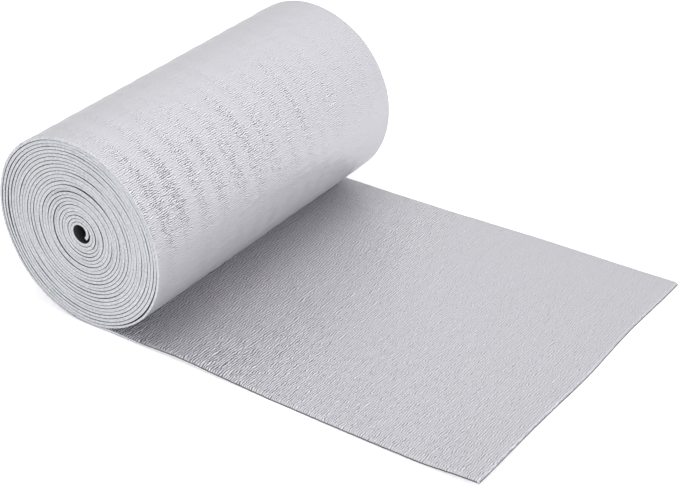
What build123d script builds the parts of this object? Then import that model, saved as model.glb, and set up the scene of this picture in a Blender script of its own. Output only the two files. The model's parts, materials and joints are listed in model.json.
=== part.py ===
import os
from math import acos, cos, degrees, radians, sin

from build123d import *

# The foam sheet, in millimetres: its cut width, its thickness, and the distance
# from the roll's bore to the free end of the length that lies unrolled
sheet_width = 500.0
sheet_thickness = 5.0
tail_reach = 584.0

# The winding. The turns lie tighter on the side that the bore leans to, and the
# roll's weight presses its underside into the length that runs out below it
turns = 26
bore_diameter = 21.0
tight_pitch = 4.45
loose_pitch = 5.05
lean_angle = 38.0
underside_press = 1.5

# The sheet's inner end, a tongue that leaves a step in the bore behind its tip
tongue_tip_angle = -40.0
step_angle = 85.0
step_depth = 3.6

# The gap between one turn and the next, as it shows on both ends of the roll. It closes where
# the turns press together, this far to either side of the lean line in one turn after another
seam_width = 1.0
seam_depth = 1.6
seam_runout_angle = 4.0
closed_angles = (28.0, 64.0, 46.0)

bore_radius = bore_diameter / 2
lean_cos = cos(radians(lean_angle))
lean_sin = sin(radians(lean_angle))


def tight_reach(turn):
    """Distance from the bore's axis to the outside of a turn, where the turns lie tight."""
    return bore_radius + turn * tight_pitch


def loose_reach(turn):
    """The same on the opposite side, half a turn later along the sheet."""
    return bore_radius + (turn + 1 / 2) * loose_pitch


def half_turn(tight, loose):
    """Middle, along the lean line, and radius of the half turn between two such reaches."""
    return (tight - loose) / 2, (tight + loose) / 2


# The winding is a spiral of half turns, all centred on the lean line, a line through
# the bore's axis. The last half turn over the top and the one before it make the outside
top_middle, top_radius = half_turn(tight_reach(turns), loose_reach(turns))
side_middle, side_radius = half_turn(tight_reach(turns), loose_reach(turns - 1))

# Heights below the bore: the top and the underside of the length that lies flat
tail_top = side_middle * lean_sin - side_radius + underside_press
floor = tail_top - sheet_thickness

# Past the end of the top half turn, one arc brings the sheet down onto the floor
landing_radius = (-floor - loose_reach(turns) * lean_sin) / (1 - lean_sin)
landing_x = (landing_radius - loose_reach(turns)) * lean_cos

# The roll rests on the tail from here on, up to the nip where the two part
nip_angle = degrees(acos((side_radius - underside_press) / side_radius))

# The part's origin is on the floor, under the middle of its whole length and width
roll_left = top_middle * lean_cos - top_radius
bore_x = -(roll_left + tail_reach) / 2
section_plane = Plane(origin=(bore_x, 0, -floor), x_dir=(1, 0, 0), z_dir=(0, -1, 0))
lean_plane = Plane(
    origin=section_plane.origin,
    x_dir=(lean_cos, 0, lean_sin),
    z_dir=(-lean_sin, 0, lean_cos),
)


def cut_seam(start, middle, sweep):
    """Cut one stretch of the line between two turns into both ends of the roll."""
    with BuildSketch(lean_plane) as notches:
        with Locations((start, sheet_width / 2), (start, -sheet_width / 2)):
            Polygon(
                (-seam_width / 2, 0),
                (0, -seam_depth),
                (seam_width / 2, 0),
                (0, seam_depth),
                align=None,
            )
    turning_axis = Axis(lean_plane.from_local_coords((middle, 0, 0)), (0, -1, 0))
    revolve(notches.sketch, axis=turning_axis, revolution_arc=sweep, mode=Mode.SUBTRACT)


with BuildPart() as insulation_roll:
    # Section across the roll: the wound body, and the tail that runs out from under it
    with BuildSketch(section_plane):
        with BuildLine():
            landing = CenterArc((landing_x, floor + landing_radius), landing_radius, 270, lean_angle - 90)
            CenterArc((top_middle * lean_cos, top_middle * lean_sin), top_radius, 180 + lean_angle, -180)
            side = CenterArc(
                (side_middle * lean_cos, side_middle * lean_sin),
                side_radius,
                lean_angle,
                nip_angle - 90 - lean_angle,
            )
            Polyline(side @ 1, (tail_reach, tail_top), (tail_reach, floor), landing @ 0)
        make_face()
        Circle(bore_radius, mode=Mode.SUBTRACT)
        # The step beyond the tongue's tip, where the bore's wall is the next turn's
        with BuildLine():
            tongue_face = CenterArc((0, 0), bore_radius, tongue_tip_angle, -step_angle)
            tip = PolarLine(tongue_face @ 0, step_depth, tongue_tip_angle)
            TangentArc(tongue_face @ 1, tip @ 1, tangent=-(tongue_face % 1))
        make_face(mode=Mode.SUBTRACT)
    extrude(amount=sheet_width / 2, both=True)

    # Seams on the ends: behind the tongue, round every turn from its loose side, out to the nip
    innermost, _ = half_turn(tight_reach(1), loose_reach(0))
    cut_seam(tight_reach(1), innermost, tongue_tip_angle - lean_angle)
    for turn in range(1, turns):
        open_angle = 180 - closed_angles[turn % len(closed_angles)]
        over, _ = half_turn(tight_reach(turn), loose_reach(turn))
        cut_seam(-loose_reach(turn), over, -open_angle)
        under, _ = half_turn(tight_reach(turn + 1), loose_reach(turn))
        past_nip = 90 - lean_angle + nip_angle + seam_runout_angle
        cut_seam(-loose_reach(turn), under, open_angle if turn + 1 < turns else past_nip)

insulation_roll.part.label = "insulation_roll"

os.makedirs("parts", exist_ok=True)
export_step(insulation_roll.part, "parts/insulation_roll.step")
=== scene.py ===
import json
from math import cos, pi, radians, sin

import bpy
import numpy as np
from mathutils import Matrix, Vector


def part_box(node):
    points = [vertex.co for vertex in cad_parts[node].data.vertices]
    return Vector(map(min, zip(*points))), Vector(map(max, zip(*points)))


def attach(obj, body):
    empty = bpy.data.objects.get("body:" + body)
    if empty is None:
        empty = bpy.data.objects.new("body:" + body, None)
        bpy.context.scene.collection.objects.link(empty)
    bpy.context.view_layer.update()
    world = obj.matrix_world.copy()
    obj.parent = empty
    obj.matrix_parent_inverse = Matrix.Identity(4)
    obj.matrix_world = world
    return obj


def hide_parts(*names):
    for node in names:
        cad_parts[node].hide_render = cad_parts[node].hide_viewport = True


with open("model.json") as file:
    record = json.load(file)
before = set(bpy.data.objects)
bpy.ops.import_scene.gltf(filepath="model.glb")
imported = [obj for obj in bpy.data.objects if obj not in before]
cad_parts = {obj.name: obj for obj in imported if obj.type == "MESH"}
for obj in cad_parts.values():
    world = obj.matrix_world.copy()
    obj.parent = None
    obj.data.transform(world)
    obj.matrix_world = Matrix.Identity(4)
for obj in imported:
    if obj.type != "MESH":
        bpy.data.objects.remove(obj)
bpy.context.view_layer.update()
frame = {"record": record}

# The wound sheet: one long strip of white foam with silver film bonded to both faces, rolled up
# without a core. It is wound tighter on the side that the bore leans to, so its turns make an
# off-centre spiral, and its outer end runs down the left side, under the roll and out on the floor.
roll_low, roll_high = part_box("insulation_roll")
bore = next(mount for mount in frame["record"]["mounts"] if mount["name"] == "bore")
bore_x, _, bore_height = bore["pos_m"]
bore_radius = bore["dims"]["r_mm"] / 1000
half_width = (roll_high.y - roll_low.y) / 2
tail_end_x = roll_high.x - bore_x
sheet_thickness = 0.005
turns = 26
tight_pitch = 0.00445
loose_pitch = 0.00505
lean_angle = radians(38)
tongue_tip_angle = radians(-40)

# Slow waves in the winding, each with its height, its pace per radian and its start
winding_waves = [(0.00022, 1.137, 0.6), (0.00016, 2.071, 2.1)]

# Gaps between the turns: everywhere, more on the loose side, more in some turns than in others,
# in the outer turns down the left side, and where the last turn lifts off towards the nip
least_gap, loose_gap, unsteady_gap = 0.0003, 0.00035, 0.00035
unsteady_pace, unsteady_start, unsteady_beat = 0.83, 1.7, 0.271
left_gap, left_angle, left_spread = 0.0009, radians(190), radians(45)
left_from_turn, left_rise = 21, 4
nip_gap, nip_angle, nip_spread = 0.0013, radians(318), radians(24)
nip_from_turn, nip_rise = 25.3, 0.3


def outer_reach(turned):
    """Distance from the bore's axis to the sheet's outer face, for an angle turned from the lean line."""
    middle_pitch = (loose_pitch + tight_pitch) / 2
    pitch_swing = (loose_pitch - tight_pitch) / 2
    wander = sum(height * np.sin(pace * turned + start) for height, pace, start in winding_waves)
    return bore_radius + (middle_pitch - pitch_swing * np.cos(turned)) * turned / (2 * pi) + wander


def smooth_step(value):
    """Rise from 0 to 1 without a kink, while the value goes from 0 to 1."""
    value = np.clip(value, 0, 1)
    return value * value * (3 - 2 * value)


def bell(value, middle, spread):
    """Share that is 1 at the middle and dies away to both sides."""
    return np.exp(-(((value - middle) / spread) ** 2))


def air_gap(turned):
    """Gap under the sheet's inner face: widest on the loose side, and uneven from turn to turn."""
    facing = (turned + lean_angle) % (2 * pi)
    loose = (1 - np.cos(turned)) / 2
    beat = np.sin(unsteady_pace * turned + unsteady_start) * np.sin(unsteady_beat * turned)
    unsteady = 0.5 + 0.5 * beat
    outer_turns = smooth_step((turned / (2 * pi) - left_from_turn) / left_rise)
    last_turn = smooth_step((turned / (2 * pi) - nip_from_turn) / nip_rise)
    gap = least_gap + loose_gap * loose + unsteady_gap * unsteady
    gap += left_gap * outer_turns * bell(facing, left_angle, left_spread)
    return gap + nip_gap * last_turn * bell(facing, nip_angle, nip_spread)


# Rows of the mesh along the sheet. Buried turns take few; the faces that show, outside the roll
# and on top of the tail, take two for each ridge of the film. The change lies hidden under the roll
row_step = 0.0018
buried_rows_per_turn = 64
shows_angle = radians(222)
wound_from = 2 * pi + tongue_tip_angle - lean_angle
shows_from = 2 * pi * (turns - 1) + shows_angle
wound_to = 2 * pi * turns + pi
buried_rows = round((shows_from - wound_from) / (2 * pi) * buried_rows_per_turn)
buried_turned = np.linspace(wound_from, shows_from, buried_rows)
last_reach = float(outer_reach(wound_to))
roll_turned = np.arange(shows_from, wound_to, row_step / last_reach)[1:]

# Wound stretch. The tongue at the inner end has sprung a little way into the bore
tongue_spring = 0.0028
tongue_length = radians(110)
turned = np.concatenate([buried_turned, roll_turned])
sprung = tongue_spring * smooth_step((wound_from + tongue_length - turned) / tongue_length)
reach = outer_reach(turned) - sprung
wound = np.column_stack([reach * np.cos(turned + lean_angle), reach * np.sin(turned + lean_angle)])

# Past the last half turn over the top, one arc brings the sheet down onto the floor
landing_radius = (bore_height - last_reach * sin(lean_angle)) / (1 - sin(lean_angle))
landing_x = (landing_radius - last_reach) * cos(lean_angle)
landing_angle = np.arange(pi + lean_angle, 3 * pi / 2, row_step / landing_radius)
landing = np.column_stack(
    [
        landing_x + landing_radius * np.cos(landing_angle),
        landing_radius - bore_height + landing_radius * np.sin(landing_angle),
    ]
)

# Tail, flat on the floor, with closer rows where the knife has pressed its free end round
press_radius = 0.004
press_turn = np.radians([22, 44, 66, 90])
press_step = press_radius * (1 - np.sin(press_turn))
plain_x = np.linspace(landing_x, tail_end_x - press_radius, round((tail_end_x - landing_x) / row_step))
tail_x = np.concatenate([plain_x, tail_end_x - press_step])
tail = np.column_stack([tail_x, np.full(len(tail_x), -bore_height)])

path = np.vstack([wound, landing, tail])
along = np.concatenate([[0], np.cumsum(np.linalg.norm(np.diff(path, axis=0), axis=1))])
heading = np.gradient(path, axis=0)
heading /= np.linalg.norm(heading, axis=1)[:, None]
inward = np.column_stack([-heading[:, 1], heading[:, 0]])

# Thickness, row by row: what the turn beneath leaves free, and the sheet's own where it lies open
row_turned = np.unwrap(np.arctan2(path[:, 1], path[:, 0]))
row_turned += wound_from - row_turned[0]
room = np.concatenate([outer_reach(turned), np.linalg.norm(path[len(turned):], axis=1)])
room -= outer_reach(row_turned - 2 * pi) + air_gap(row_turned)
thickness = np.minimum(room, sheet_thickness)

# Relief of the film: fine crepe ridges, broad puckers, and bands that run round the roll side by side
# with soft ripples among them. Each size is a length along the sheet and a width across it. Relief
# fades in past the row where the mesh comes out of hiding, and on the roll as it rises off the floor
crepe_height, crepe_size = 0.0003, (0.0036, 0.014)
pucker_height, pucker_size = 0.00018, (0.014, 0.03)
band_height, band_spacing = 0.0005, 0.036
band_strength, band_strength_swing, band_strength_size = 0.75, 0.4, (0.3, 0.08)
band_sway, band_sway_size = 0.006, (0.25, 0.06)
ripple_share, ripple_size = 0.8, (0.07, 0.016)
tail_band_share = 0.15
relief_from, relief_rise = 0.02, 0.04
floor_clearance = 0.012
draw = np.random.default_rng(26)


def unevenness(s, y, s_step, y_step):
    """Smooth random heights, mostly within -1 and 1, with bumps of the given length and width."""
    s_index = (s - s.min()) / s_step
    y_index = (y + half_width) / y_step
    knots = draw.normal(0, 0.5, (int(s_index.max()) + 2, int(y_index.max()) + 2))
    s_knot, y_knot = s_index.astype(int), y_index.astype(int)
    s_part, y_part = smooth_step(s_index - s_knot), smooth_step(y_index - y_knot)
    here = knots[s_knot, y_knot] * (1 - y_part) + knots[s_knot, y_knot + 1] * y_part
    ahead = knots[s_knot + 1, y_knot] * (1 - y_part) + knots[s_knot + 1, y_knot + 1] * y_part
    return here * (1 - s_part) + ahead * s_part


def tight_bands(s, y):
    """Bands round the roll, side by side, where the film is drawn tighter and looser by turns."""
    strength = band_strength + band_strength_swing * unevenness(s, y, *band_strength_size)
    sway = band_sway * unevenness(s, y, *band_sway_size)
    return strength * np.sin(2 * pi / band_spacing * (y + sway))


def film_relief(s, y, bands):
    """Height of the film over the plain sheet; it starts level, where the mesh comes out of hiding."""
    crepe = crepe_height * unevenness(s, y, *crepe_size)
    pucker = pucker_height * unevenness(s, y, *pucker_size)
    return (crepe + pucker + band_height * bands) * smooth_step((s - s.min() - relief_from) / relief_rise)


# Crepe is deepest over the roll's shoulder, at its heel on the back, and on the tail beside the nip. Its
# depth also sets how strong the painted crease shade and ridge highlight are, and beside the nip it is
# deep enough to paint the dark, streaky shade there. It changes with the bands, and is shallower to the
# far side
tail_crepe, nip_crepe, nip_x, nip_reach = 0.5, 2.5, 0.13, 0.11
roll_crepe, shoulder_crepe, heel_crepe = 0.35, 0.65, 0.45
shoulder_angle, shoulder_spread = radians(36), radians(30)
heel_angle, heel_spread = radians(205), radians(40)
roll_depth, roll_band_loss = 1.0, 0.45
tail_depth, tail_band_gain = 0.95, 0.7
mid_width_share, far_side_loss = 0.66, 0.34
least_depth = 0.05
facing = (row_turned + lean_angle) % (2 * pi)
shoulder = bell(facing, shoulder_angle, shoulder_spread)
heel = bell(facing, heel_angle, heel_spread)
beside_nip = bell(np.maximum(path[:, 0], nip_x), nip_x, nip_reach)
unrolled = np.arange(len(path)) >= len(wound) + len(landing)
row_crepe = np.where(
    unrolled,
    tail_crepe + nip_crepe * beside_nip,
    roll_crepe + shoulder_crepe * shoulder + heel_crepe * heel,
)

# Ridges lie closest on the roll, further apart on the tail, and furthest apart beside the nip. The
# film's map counts them: ridges along the sheet, and lengths of a ridge across it
roll_spacing, tail_spacing, nip_spacing_gain = 0.0027, 0.0031, 0.0007
roll_ridge_length, tail_ridge_length = 0.008, 0.011
ridge_spacing = np.where(unrolled, tail_spacing + nip_spacing_gain * beside_nip, roll_spacing)
ridge_length = np.where(unrolled, tail_ridge_length, roll_ridge_length)
ridges_along = np.concatenate([[0], np.cumsum(np.diff(along) / ridge_spacing[1:])])

# Columns of the mesh across the width: few on buried faces, more where a face shows, and closer ones
# where the knife has pressed the tail's edges round. The tail's underside has enough to follow its cut
edge_round = 0.0004
edge_strip = 0.008
column_step = 0.007
under_columns = 21
face_half = half_width - edge_round
face_columns = round(2 * face_half / column_step)
plain = np.array([-face_half, edge_strip - face_half, face_half - edge_strip, face_half])
fine = np.linspace(-face_half, face_half, face_columns)
middle = np.linspace(press_radius - face_half, face_half - press_radius, face_columns)
pressed = np.concatenate([press_step[::-1] - face_half, middle, face_half - press_step])
under = np.linspace(-face_half, face_half, under_columns)
zones = [
    (len(buried_turned), plain, plain),
    (len(roll_turned) + len(landing), fine, plain),
    (len(tail), under, pressed),
]

# Turns stand a little in or out of line with each other at both ends, less so along the tail
edge_waves = [(0.0005, 9.1, 0.0), (0.00035, 23.7, 1.0), (0.00025, 61.0, 0.0)]
steady_length, steady_share = 0.8, 0.1
edge_wander = sum(height * np.sin(pace * along + start) for height, pace, start in edge_waves)
edge_wander *= np.clip((along[-1] - along) / steady_length, steady_share, 1)

# Lie of the unrolled length: its near edge humps up beside the roll, its near corner curls, it keeps
# slow waves from the winding and spreads a little, and the knife has wandered along its free end
corner_lift, corner_length, corner_width = 0.006, 0.09, 0.16
hump_lift, hump_x, hump_length = 0.0042, 0.15, 0.07
wave_lift, wave_length, wave_slant = 0.0006, 0.31, 4.0
wave_from_x, wave_rise, wave_mid_share = 0.06, 0.12, 0.4
cut_beyond, cut_skew, cut_wander, cut_wave_length = 0.0028, 0.006, 0.0014, 0.235
spread_share, spread_from_x, spread_rise = 0.014, 0.2, 0.25
press_from_x, press_rise = 0.01, 0.13


def press_down(x, y):
    """Drop of the top film towards the cut edges, where the knife has pressed the sheet together."""
    from_side = np.maximum(press_radius - face_half + np.abs(y), 0) / press_radius
    from_end = np.maximum(press_radius - tail_end_x + x, 0) / press_radius
    near = np.minimum(np.hypot(from_side, from_end), 1)
    return press_radius * smooth_step((x - press_from_x) / press_rise) * (1 - np.sqrt(1 - near**2))


def lay_out(section, y):
    """Move points of the tail to where they lie, and return their new places across the width."""
    x = section[..., 0].copy()
    near_side = smooth_step(1 - (y + half_width) / corner_width)
    to_end = smooth_step((x - tail_end_x + corner_length) / corner_length)
    wave = 0.5 + 0.5 * np.sin(x * 2 * pi / wave_length + wave_slant * y)
    wave *= smooth_step((x - wave_from_x) / wave_rise) * (wave_mid_share + (y / half_width) ** 2)
    lift = corner_lift * to_end + hump_lift * bell(x, hump_x, hump_length)
    cut = cut_beyond - cut_skew * y + cut_wander * np.cos(2 * pi / cut_wave_length * y)
    section[..., 1] += lift * near_side + wave_lift * wave
    section[..., 0] += to_end * cut
    return y * (1 + spread_share * smooth_step((x - spread_from_x) / spread_rise))


# Mesh, zone by zone. Each row is a loop of points round the sheet: the outer face from near to far,
# the far cut edge, the inner face from far to near, the near cut edge
FILM, FOAM, SHADE_PAINTED_FILM = range(3)
points, sheet_uv, crepe_depth, faces, face_material = [], [], [], [], []
zone_loops = []
first_row = first_point = 0
for row_count, outer_y, inner_y in zones:
    rows = slice(first_row, first_row + row_count)
    s = along[rows, None]
    into = inward[rows, None, :]
    outer = path[rows, None, :]
    inner = outer + into * thickness[rows, None, None]
    outer_face = np.repeat(outer, len(outer_y), axis=1)
    inner_face = np.repeat(inner, len(inner_y), axis=1)
    top_edge = inner - into * edge_round
    depth = np.ones((row_count, len(outer_y) + len(inner_y) + 4))
    if outer_y is fine:
        grid = np.broadcast_arrays(s, fine[None, :])
        bands = tight_bands(*grid) + ripple_share * unevenness(*grid, *ripple_size)
        off_floor = smooth_step((outer[..., 1] + bore_height) / floor_clearance)
        outer_face -= into * (off_floor * film_relief(*grid, bands))[..., None]
        depth[:, : len(fine)] = roll_depth - roll_band_loss * bands
    if inner_y is pressed:
        grid = np.broadcast_arrays(s, pressed[None, :])
        bands = tail_band_share * tight_bands(*grid)
        inner_face += into * film_relief(*grid, bands)[..., None]
        inner_face[..., 1] -= press_down(outer[..., 0], pressed[None, :])
        top_edge = top_edge - into * press_down(outer[..., 0], face_half)[..., None]
        depth[:, len(outer_y) + 2 : -2] = tail_depth + tail_band_gain * bands[:, ::-1]
    edge = np.concatenate([outer + into * edge_round, top_edge], axis=1)
    section = np.concatenate([outer_face, edge, inner_face[:, ::-1], edge[:, ::-1]], axis=1)
    loop_y = np.concatenate([outer_y, [half_width] * 2, inner_y[::-1], [-half_width] * 2])[None, :]
    depth *= row_crepe[rows, None] * (mid_width_share - far_side_loss * loop_y / half_width)
    crepe_depth.append(np.maximum(depth, least_depth).ravel())
    loop_y = loop_y * (1 + edge_wander[rows, None] / half_width)
    if inner_y is pressed:
        loop_y = lay_out(section, loop_y)
    loop_points = np.stack([section[..., 0] + bore_x, loop_y, section[..., 1] + bore_height], axis=-1)
    points.append(loop_points.reshape(-1, 3))
    ridge_uv = np.broadcast_arrays(ridges_along[rows, None], loop_y / ridge_length[rows, None])
    sheet_uv.append(np.stack(ridge_uv, axis=-1).reshape(-1, 2))

    # The tail's film stops short of its pressed edges. Those edges, the buried faces between the turns and
    # the film in the bore take film painted dark, as painted shade
    index = first_point + np.arange(row_count * loop_y.shape[1]).reshape(row_count, -1)
    following = np.roll(index, -1, axis=1)
    quads = np.stack([index[:-1], following[:-1], following[1:], index[1:]], axis=-1)
    column_material = np.full(loop_y.shape[1], FOAM)
    column_material[: len(outer_y) - 1] = SHADE_PAINTED_FILM if outer_y is inner_y else FILM
    column_material[len(outer_y) + 2 : len(outer_y) + 1 + len(inner_y)] = SHADE_PAINTED_FILM
    quad_material = np.tile(column_material, (row_count - 1, 1))
    if inner_y is pressed:
        quad_material[:-1, len(outer_y) + 3 : len(outer_y) + len(inner_y)] = FILM
    faces.extend(quads.reshape(-1, 4).tolist())
    face_material.extend(quad_material.ravel().tolist())
    zone_loops.append((index, outer_y, inner_y))
    first_row += row_count
    first_point += index.size


def stitch(near, far, near_y, far_y, material):
    """Join two rows of points of unlike number with triangles, by their places across the width."""
    i = j = 0
    while i + 1 < len(near) or j + 1 < len(far):
        if j + 1 == len(far) or (i + 1 < len(near) and near_y[i + 1] <= far_y[j + 1]):
            faces.append([near[i], near[i + 1], far[j]])
            i += 1
        else:
            faces.append([near[i], far[j + 1], far[j]])
            j += 1
        face_material.append(material)


def parts_of(row, outer_y, inner_y):
    """Outer face, far edge, inner face and near edge of one row's loop; the edges reach to the faces."""
    far_edge, near_edge = len(outer_y), len(outer_y) + 2 + len(inner_y)
    return (
        row[:far_edge],
        row[far_edge - 1 : far_edge + 3],
        row[far_edge + 2 : near_edge],
        np.append(row[near_edge - 1 :], row[0]),
    )


for (index, outer_y, inner_y), (next_index, next_outer_y, next_inner_y) in zip(zone_loops, zone_loops[1:]):
    last = parts_of(index[-1], outer_y, inner_y)
    first = parts_of(next_index[0], next_outer_y, next_inner_y)
    stitch(last[0], first[0], outer_y, next_outer_y, FILM)
    stitch(last[1], first[1], range(4), range(4), FOAM)
    # Inner faces between the zones take the film painted dark as shade, like the rest of the buried film
    stitch(last[2], first[2], -inner_y[::-1], -next_inner_y[::-1], SHADE_PAINTED_FILM)
    stitch(last[3], first[3], range(4), range(4), FOAM)

# The cut ends: the tongue's tip in the bore, and the free end on the floor
index, outer_y, inner_y = zone_loops[0]
tip_outer, tip_far, tip_inner, tip_near = parts_of(index[0], outer_y, inner_y)
stitch(tip_inner[::-1], tip_outer, inner_y, outer_y, FOAM)
faces.extend([tip_far[::-1].tolist(), tip_near[::-1].tolist()])
face_material.extend([FOAM, FOAM])
index, outer_y, inner_y = zone_loops[-1]
end_outer, end_far, end_inner, end_near = parts_of(index[-1], outer_y, inner_y)
stitch(end_outer, end_inner[::-1], outer_y, inner_y, FOAM)
faces.extend([end_far.tolist(), end_near.tolist()])
face_material.extend([FOAM, FOAM])

crisp_edge_angle = radians(32)
sheet_mesh = bpy.data.meshes.new("wound_sheet")
sheet_mesh.from_pydata(np.concatenate(points).tolist(), [], faces)
sheet_mesh.polygons.foreach_set("material_index", face_material)
corner_vertex = np.empty(len(sheet_mesh.loops), int)
sheet_mesh.loops.foreach_get("vertex_index", corner_vertex)
sheet_map = sheet_mesh.uv_layers.new(name="sheet")
sheet_map.data.foreach_set("uv", np.concatenate(sheet_uv)[corner_vertex].ravel())
depth_attribute = sheet_mesh.attributes.new("crepe_depth", "FLOAT", "POINT")
depth_attribute.data.foreach_set("value", np.concatenate(crepe_depth))
sheet_mesh.shade_smooth()
sheet_mesh.set_sharp_from_angle(angle=crisp_edge_angle)
sheet_mesh.update()

# Film: metallised plastic with a satin face, drawn into crepe by the winding. Its ridges lie across
# the sheet, broken into patches, as deep as the mesh says at each point, with painted shade in the
# creases between them and a painted highlight on the ridges.
# The wave texture repeats 20 / (2 pi) times in a unit, and a patch is counted in ridges as the map is
film = bpy.data.materials.new("silver film")
film.use_nodes = True
nodes, links = film.node_tree.nodes, film.node_tree.links
shader = nodes["Principled BSDF"]
shader.inputs["Metallic"].default_value = 0.3
shader.inputs["Roughness"].default_value = 0.3
shader.inputs["Specular IOR Level"].default_value = 0.15
shader.inputs["Specular Tint"].default_value = (0.5, 0.5, 0.52, 1)
ridge_map = nodes.new("ShaderNodeUVMap")
ridge_map.uv_map = "sheet"
depth_here = nodes.new("ShaderNodeAttribute")
depth_here.attribute_name = "crepe_depth"
waves_per_unit = 20 / (2 * pi)
ridge_scale = nodes.new("ShaderNodeVectorMath")
ridge_scale.operation = "MULTIPLY"
ridge_scale.inputs[1].default_value = (1 / waves_per_unit, 1, 0)
ridges = nodes.new("ShaderNodeTexWave")
ridges.inputs["Scale"].default_value = 1.0
ridges.inputs["Distortion"].default_value = 7.0
ridges.inputs["Detail"].default_value = 2.0
ridges.inputs["Detail Scale"].default_value = 1.0
ridges.inputs["Detail Roughness"].default_value = 0.7
crease = nodes.new("ShaderNodeMapRange")
crease.interpolation_type = "SMOOTHSTEP"
crease.inputs["From Min"].default_value = 0.05
crease.inputs["From Max"].default_value = 0.7
crease.inputs["To Min"].default_value = 1.0
crease.inputs["To Max"].default_value = 0.0
patch_size = (1.6, 0.8)
patch_scale = nodes.new("ShaderNodeVectorMath")
patch_scale.operation = "MULTIPLY"
patch_scale.inputs[1].default_value = (1 / patch_size[0], 1 / patch_size[1], 0)
patches = nodes.new("ShaderNodeTexNoise")
patches.noise_dimensions = "2D"
patches.inputs["Scale"].default_value = 1.0
patches.inputs["Detail"].default_value = 1.0
patch_depth = nodes.new("ShaderNodeMapRange")
patch_depth.inputs["From Min"].default_value = 0.35
patch_depth.inputs["From Max"].default_value = 0.65
patch_depth.inputs["To Min"].default_value = 0.4
patch_depth.inputs["To Max"].default_value = 1.5
broken_depth = nodes.new("ShaderNodeMath")
broken_depth.operation = "MULTIPLY"
links.new(ridge_map.outputs["UV"], ridge_scale.inputs[0])
links.new(ridge_scale.outputs["Vector"], ridges.inputs["Vector"])
links.new(ridges.outputs["Fac"], crease.inputs["Value"])
links.new(ridge_map.outputs["UV"], patch_scale.inputs[0])
links.new(patch_scale.outputs["Vector"], patches.inputs["Vector"])
links.new(patches.outputs["Fac"], patch_depth.inputs["Value"])
links.new(depth_here.outputs["Fac"], broken_depth.inputs[0])
links.new(patch_depth.outputs["Result"], broken_depth.inputs[1])

# Painted shade in the creases and painted highlight on the ridges, the stronger the deeper the crepe,
# about the plain film's own tone
mean_crease = 0.41
plain_shade = 0.36
from_mean = nodes.new("ShaderNodeMath")
from_mean.operation = "SUBTRACT"
from_mean.inputs[1].default_value = mean_crease
shade = nodes.new("ShaderNodeMath")
shade.operation = "MULTIPLY_ADD"
shade.inputs[2].default_value = plain_shade
film_tone_and_crease_shade = nodes.new("ShaderNodeMix")
film_tone_and_crease_shade.data_type = "RGBA"
film_tone_and_crease_shade.inputs["A"].default_value = (0.83, 0.82, 0.86, 1)
# Colour B is the painted shade in a deep crease
film_tone_and_crease_shade.inputs["B"].default_value = (0.20, 0.20, 0.235, 1)
relief = nodes.new("ShaderNodeMath")
relief.operation = "MULTIPLY"
bump = nodes.new("ShaderNodeBump")
bump.inputs["Strength"].default_value = 1.0
bump.inputs["Distance"].default_value = 0.0005
links.new(crease.outputs["Result"], from_mean.inputs[0])
links.new(from_mean.outputs["Value"], shade.inputs[0])
links.new(broken_depth.outputs["Value"], shade.inputs[1])
links.new(shade.outputs["Value"], film_tone_and_crease_shade.inputs["Factor"])
links.new(film_tone_and_crease_shade.outputs["Result"], shader.inputs["Base Color"])
links.new(ridges.outputs["Fac"], relief.inputs[0])
links.new(broken_depth.outputs["Value"], relief.inputs[1])
links.new(relief.outputs["Value"], bump.inputs["Height"])
links.new(bump.outputs["Normal"], shader.inputs["Normal"])

# Foam, bare on the sheet's cut edges: fine closed cells, white with a cool cast
foam = bpy.data.materials.new("white foam")
foam.use_nodes = True
nodes, links = foam.node_tree.nodes, foam.node_tree.links
shader = nodes["Principled BSDF"]
shader.inputs["Roughness"].default_value = 0.75
place = nodes.new("ShaderNodeTexCoord")
pores = nodes.new("ShaderNodeTexNoise")
pores.inputs["Scale"].default_value = 420.0
pores.inputs["Detail"].default_value = 2.0
pore_range = nodes.new("ShaderNodeMapRange")
pore_range.inputs["From Min"].default_value = 0.35
pore_range.inputs["From Max"].default_value = 0.62
cell_tone = nodes.new("ShaderNodeMix")
cell_tone.data_type = "RGBA"
cell_tone.inputs["A"].default_value = (0.62, 0.635, 0.70, 1)
cell_tone.inputs["B"].default_value = (0.86, 0.87, 0.90, 1)
cells = nodes.new("ShaderNodeTexVoronoi")
cells.inputs["Scale"].default_value = 900.0
cell_bump = nodes.new("ShaderNodeBump")
cell_bump.inputs["Strength"].default_value = 0.6
cell_bump.inputs["Distance"].default_value = 0.0003
links.new(place.outputs["Object"], pores.inputs["Vector"])
links.new(pores.outputs["Fac"], pore_range.inputs["Value"])
links.new(pore_range.outputs["Result"], cell_tone.inputs["Factor"])
links.new(cell_tone.outputs["Result"], shader.inputs["Base Color"])
links.new(place.outputs["Object"], cells.inputs["Vector"])
links.new(cells.outputs["Distance"], cell_bump.inputs["Height"])
links.new(cell_bump.outputs["Normal"], shader.inputs["Normal"])

# Film in the bore, between the turns and along the tail's pressed edges, painted dark as the shade that
# falls there
shade_painted_film = bpy.data.materials.new("rubbed film")
shade_painted_film.use_nodes = True
shader = shade_painted_film.node_tree.nodes["Principled BSDF"]
shader.inputs["Base Color"].default_value = (0.10, 0.10, 0.115, 1)
shader.inputs["Metallic"].default_value = 0.5
shader.inputs["Roughness"].default_value = 0.4

for material in (film, foam, shade_painted_film):
    sheet_mesh.materials.append(material)
wound_sheet = bpy.data.objects.new("wound_sheet", sheet_mesh)
bpy.context.scene.collection.objects.link(wound_sheet)
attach(wound_sheet, "root")
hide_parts("insulation_roll")

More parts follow.
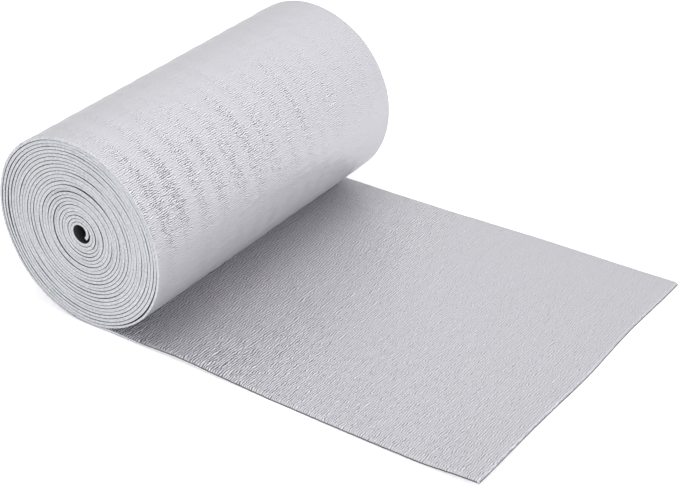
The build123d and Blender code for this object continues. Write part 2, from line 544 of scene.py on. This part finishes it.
# The floor: a wide sheet of matt white paper that the roll lies on, laid flat. It keeps the roll's
# soft shadow, and shows white to the camera and in the film's gloss as far as it reaches
floor_half = 12.0
floor_mesh = bpy.data.meshes.new("paper_floor")
floor_corners = [(-1, -1), (1, -1), (1, 1), (-1, 1)]
floor_mesh.from_pydata([(x * floor_half, y * floor_half, 0) for x, y in floor_corners], [], [(0, 1, 2, 3)])
paper = bpy.data.materials.new("white paper")
paper.use_nodes = True
nodes, links = paper.node_tree.nodes, paper.node_tree.links
shader = nodes["Principled BSDF"]
shader.inputs["Base Color"].default_value = (1, 1, 1, 1)
shader.inputs["Roughness"].default_value = 1.0
shader.inputs["Specular IOR Level"].default_value = 0.0
shader.inputs["Emission Color"].default_value = (1, 1, 1, 1)
paper_path = nodes.new("ShaderNodeLightPath")
paper_shows = nodes.new("ShaderNodeMath")
paper_shows.operation = "ADD"
paper_shows.use_clamp = True
whitening = nodes.new("ShaderNodeMath")
whitening.operation = "MULTIPLY"
whitening.inputs[1].default_value = 0.46
links.new(paper_path.outputs["Is Camera Ray"], paper_shows.inputs[0])
links.new(paper_path.outputs["Is Glossy Ray"], paper_shows.inputs[1])
links.new(paper_shows.outputs["Value"], whitening.inputs[0])
links.new(whitening.outputs["Value"], shader.inputs["Emission Strength"])
floor_mesh.materials.append(paper)
paper_floor = bpy.data.objects.new("paper_floor", floor_mesh)
bpy.context.scene.collection.objects.link(paper_floor)

# Light: a white tent all round, a softbox over the roll, and a wide one low on the right that reaches
# in under the roll's side. The film's gloss mirrors the tent, which is white there, and not the lamps
tent = bpy.data.worlds.new("white tent")
bpy.context.scene.world = tent
tent.use_nodes = True
nodes, links = tent.node_tree.nodes, tent.node_tree.links
tent_shader = nodes["Background"]
tent_shader.inputs["Color"].default_value = (1, 1, 1, 1)
tent_path = nodes.new("ShaderNodeLightPath")
tent_shows = nodes.new("ShaderNodeMath")
tent_shows.operation = "ADD"
tent_shows.use_clamp = True
tent_level = nodes.new("ShaderNodeMix")
tent_level.data_type = "FLOAT"
tent_level.inputs["A"].default_value = 0.55
tent_level.inputs["B"].default_value = 1.0
links.new(tent_path.outputs["Is Camera Ray"], tent_shows.inputs[0])
links.new(tent_path.outputs["Is Glossy Ray"], tent_shows.inputs[1])
links.new(tent_shows.outputs["Value"], tent_level.inputs["Factor"])
links.new(tent_level.outputs["Result"], tent_shader.inputs["Strength"])

bore_middle = Vector((bore_x, 0, bore_height))
for lamp_name, lamp_place, lamp_size, lamp_power in [
    ("softbox overhead", (-0.12, -0.08, 1.65), 1.0, 12.0),
    ("softbox on the right", (4.4, -1.9, 1.2), 2.4, 92.0),
]:
    lamp_data = bpy.data.lights.new(lamp_name, "AREA")
    lamp_data.size = lamp_size
    lamp_data.energy = lamp_power
    lamp = bpy.data.objects.new(lamp_name, lamp_data)
    lamp.location = lamp_place
    lamp.rotation_euler = (bore_middle - lamp.location).to_track_quat("-Z", "Y").to_euler()
    lamp.visible_glossy = False
    bpy.context.scene.collection.objects.link(lamp)

# The camera: about two metres off, above and to the right of the roll's near end, with a long lens, and
# tipped a little to one side
camera_place = Vector((1.13737, -1.53234, 1.22001))
camera_azimuth, camera_elevation, camera_roll = 0.63978, 0.54101, -0.03258
back = Vector(
    (
        sin(camera_azimuth) * cos(camera_elevation),
        -cos(camera_azimuth) * cos(camera_elevation),
        sin(camera_elevation),
    )
)
level_right = Vector((cos(camera_azimuth), sin(camera_azimuth), 0))
level_up = back.cross(level_right)
right = cos(camera_roll) * level_right + sin(camera_roll) * level_up
up = cos(camera_roll) * level_up - sin(camera_roll) * level_right
camera_data = bpy.data.cameras.new("camera")
camera_data.lens = 90.07
camera_data.sensor_width = 36.0
camera = bpy.data.objects.new("camera", camera_data)
camera.matrix_world = Matrix.Translation(camera_place) @ Matrix((right, up, back)).transposed().to_4x4()
bpy.context.scene.collection.objects.link(camera)
bpy.context.scene.camera = camera
bpy.context.scene.view_settings.view_transform = "Standard"
